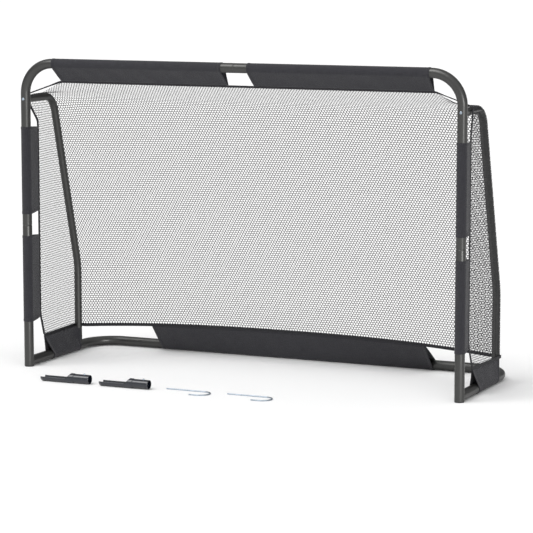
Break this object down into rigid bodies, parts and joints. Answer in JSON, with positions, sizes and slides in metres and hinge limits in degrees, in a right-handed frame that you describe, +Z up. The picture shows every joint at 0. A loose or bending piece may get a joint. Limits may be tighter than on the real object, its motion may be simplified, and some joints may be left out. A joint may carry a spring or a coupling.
{
  "type": "hockey goal net",
  "caption": "Free-standing practice goal: bent steel tube frame with swaged joints, hex mesh net on cloth sleeves, ground spikes and hook pegs.",
  "frame": {"origin": "on the floor, at the middle of the whole set's outline: the goal and the spikes and pegs that lie in front of it", "axes": "+Z up; +X along the crossbar, to the right of a player who looks into the goal; +Y into the goal, towards its back"},
  "size_m": [1.8656, 0.8913, 1.2318],
  "materials": {
    "frame_paint": "grey powder coat, semi-gloss",
    "spike_paint": "black gloss paint",
    "zinc_steel": "bright zinc plate",
    "spring_steel": "rolled spring steel",
    "black_plastic": "moulded, matt",
    "sleeve_fabric": "charcoal woven polyester",
    "edge_binding": "black woven tape",
    "net_cord": "knitted hexagon mesh, dark grey"
  },
  "bodies": {
    "goal": {"base_corner_tube_left": "frame_paint", "base_corner_tube_right": "frame_paint", "binding_bottom_left": "edge_binding", "binding_bottom_right": "edge_binding", "binding_front_left": "edge_binding", "binding_front_right": "edge_binding", "binding_rear": "edge_binding", "binding_top": "edge_binding", "crossbar_sleeve_left": "sleeve_fabric", "crossbar_sleeve_right": "sleeve_fabric", "foot_plug_left": "black_plastic", "foot_plug_right": "black_plastic", "leaf_spring_crossbar": "spring_steel", "leaf_spring_post_left": "spring_steel", "leaf_spring_post_right": "spring_steel", "leaf_spring_rear_bar": "spring_steel", "lower_post_left": "frame_paint", "lower_post_right": "frame_paint", "net_back": "net_cord", "net_side_left": "net_cord", "net_side_right": "net_cord", "post_sleeve_lower_left": "sleeve_fabric", "post_sleeve_lower_right": "sleeve_fabric", "post_sleeve_upper_left": "sleeve_fabric", "post_sleeve_upper_right": "sleeve_fabric", "rear_sleeve": "sleeve_fabric", "side_sleeve_left": "sleeve_fabric", "side_sleeve_right": "sleeve_fabric", "stay_bolt_left": "zinc_steel", "stay_bolt_right": "zinc_steel", "stay_nut_plug_left": "black_plastic", "stay_nut_plug_right": "black_plastic", "stay_tube_left": "frame_paint", "stay_tube_right": "frame_paint", "upper_corner_tube_left": "frame_paint", "upper_corner_tube_right": "frame_paint"},
    "button_crossbar": {"snap_button_crossbar": "zinc_steel"},
    "button_rear_bar": {"snap_button_rear_bar": "zinc_steel"},
    "button_post_left": {"snap_button_post_left": "zinc_steel"},
    "button_post_right": {"snap_button_post_right": "zinc_steel"},
    "spike_left": {"ground_spike_left": "spike_paint", "leaf_spring_spike_left": "spring_steel"},
    "button_spike_left": {"snap_button_spike_left": "zinc_steel"},
    "spike_right": {"ground_spike_right": "spike_paint", "leaf_spring_spike_right": "spring_steel"},
    "button_spike_right": {"snap_button_spike_right": "zinc_steel"},
    "peg_left": {"hook_peg_left": "zinc_steel"},
    "peg_right": {"hook_peg_right": "zinc_steel"}
  },
  "joints": [
    {"name": "press_crossbar_button", "type": "slide", "parent": "goal", "child": "button_crossbar", "axis": [0, -1, 0], "range_m": [0, 0.005], "stiffness_N_per_m": 600, "deforming": ["leaf_spring_crossbar"]},
    {"name": "press_rear_bar_button", "type": "slide", "parent": "goal", "child": "button_rear_bar", "axis": [0, 0.6508, -0.7593], "range_m": [0, 0.005], "stiffness_N_per_m": 600, "deforming": ["leaf_spring_rear_bar"]},
    {"name": "press_post_button_left", "type": "slide", "parent": "goal", "child": "button_post_left", "axis": [0, -1, 0], "range_m": [0, 0.005], "stiffness_N_per_m": 600, "deforming": ["leaf_spring_post_left"]},
    {"name": "press_post_button_right", "type": "slide", "parent": "goal", "child": "button_post_right", "axis": [0, -1, 0], "range_m": [0, 0.005], "stiffness_N_per_m": 600, "deforming": ["leaf_spring_post_right"]},
    {"name": "lift_spike_left", "type": "slide", "parent": "goal", "child": "spike_left", "axis": [0, 0, 1], "range_m": [0, 0.15]},
    {"name": "press_spike_button_left", "type": "slide", "parent": "spike_left", "child": "button_spike_left", "axis": [0, 0, -1], "range_m": [0, 0.005], "stiffness_N_per_m": 600, "deforming": ["leaf_spring_spike_left"]},
    {"name": "lift_spike_right", "type": "slide", "parent": "goal", "child": "spike_right", "axis": [0, 0, 1], "range_m": [0, 0.15]},
    {"name": "press_spike_button_right", "type": "slide", "parent": "spike_right", "child": "button_spike_right", "axis": [0, 0, -1], "range_m": [0, 0.005], "stiffness_N_per_m": 600, "deforming": ["leaf_spring_spike_right"]},
    {"name": "lift_peg_left", "type": "slide", "parent": "goal", "child": "peg_left", "axis": [0, 0, 1], "range_m": [0, 0.15]},
    {"name": "lift_peg_right", "type": "slide", "parent": "goal", "child": "peg_right", "axis": [0, 0, 1], "range_m": [0, 0.15]}
  ]
}
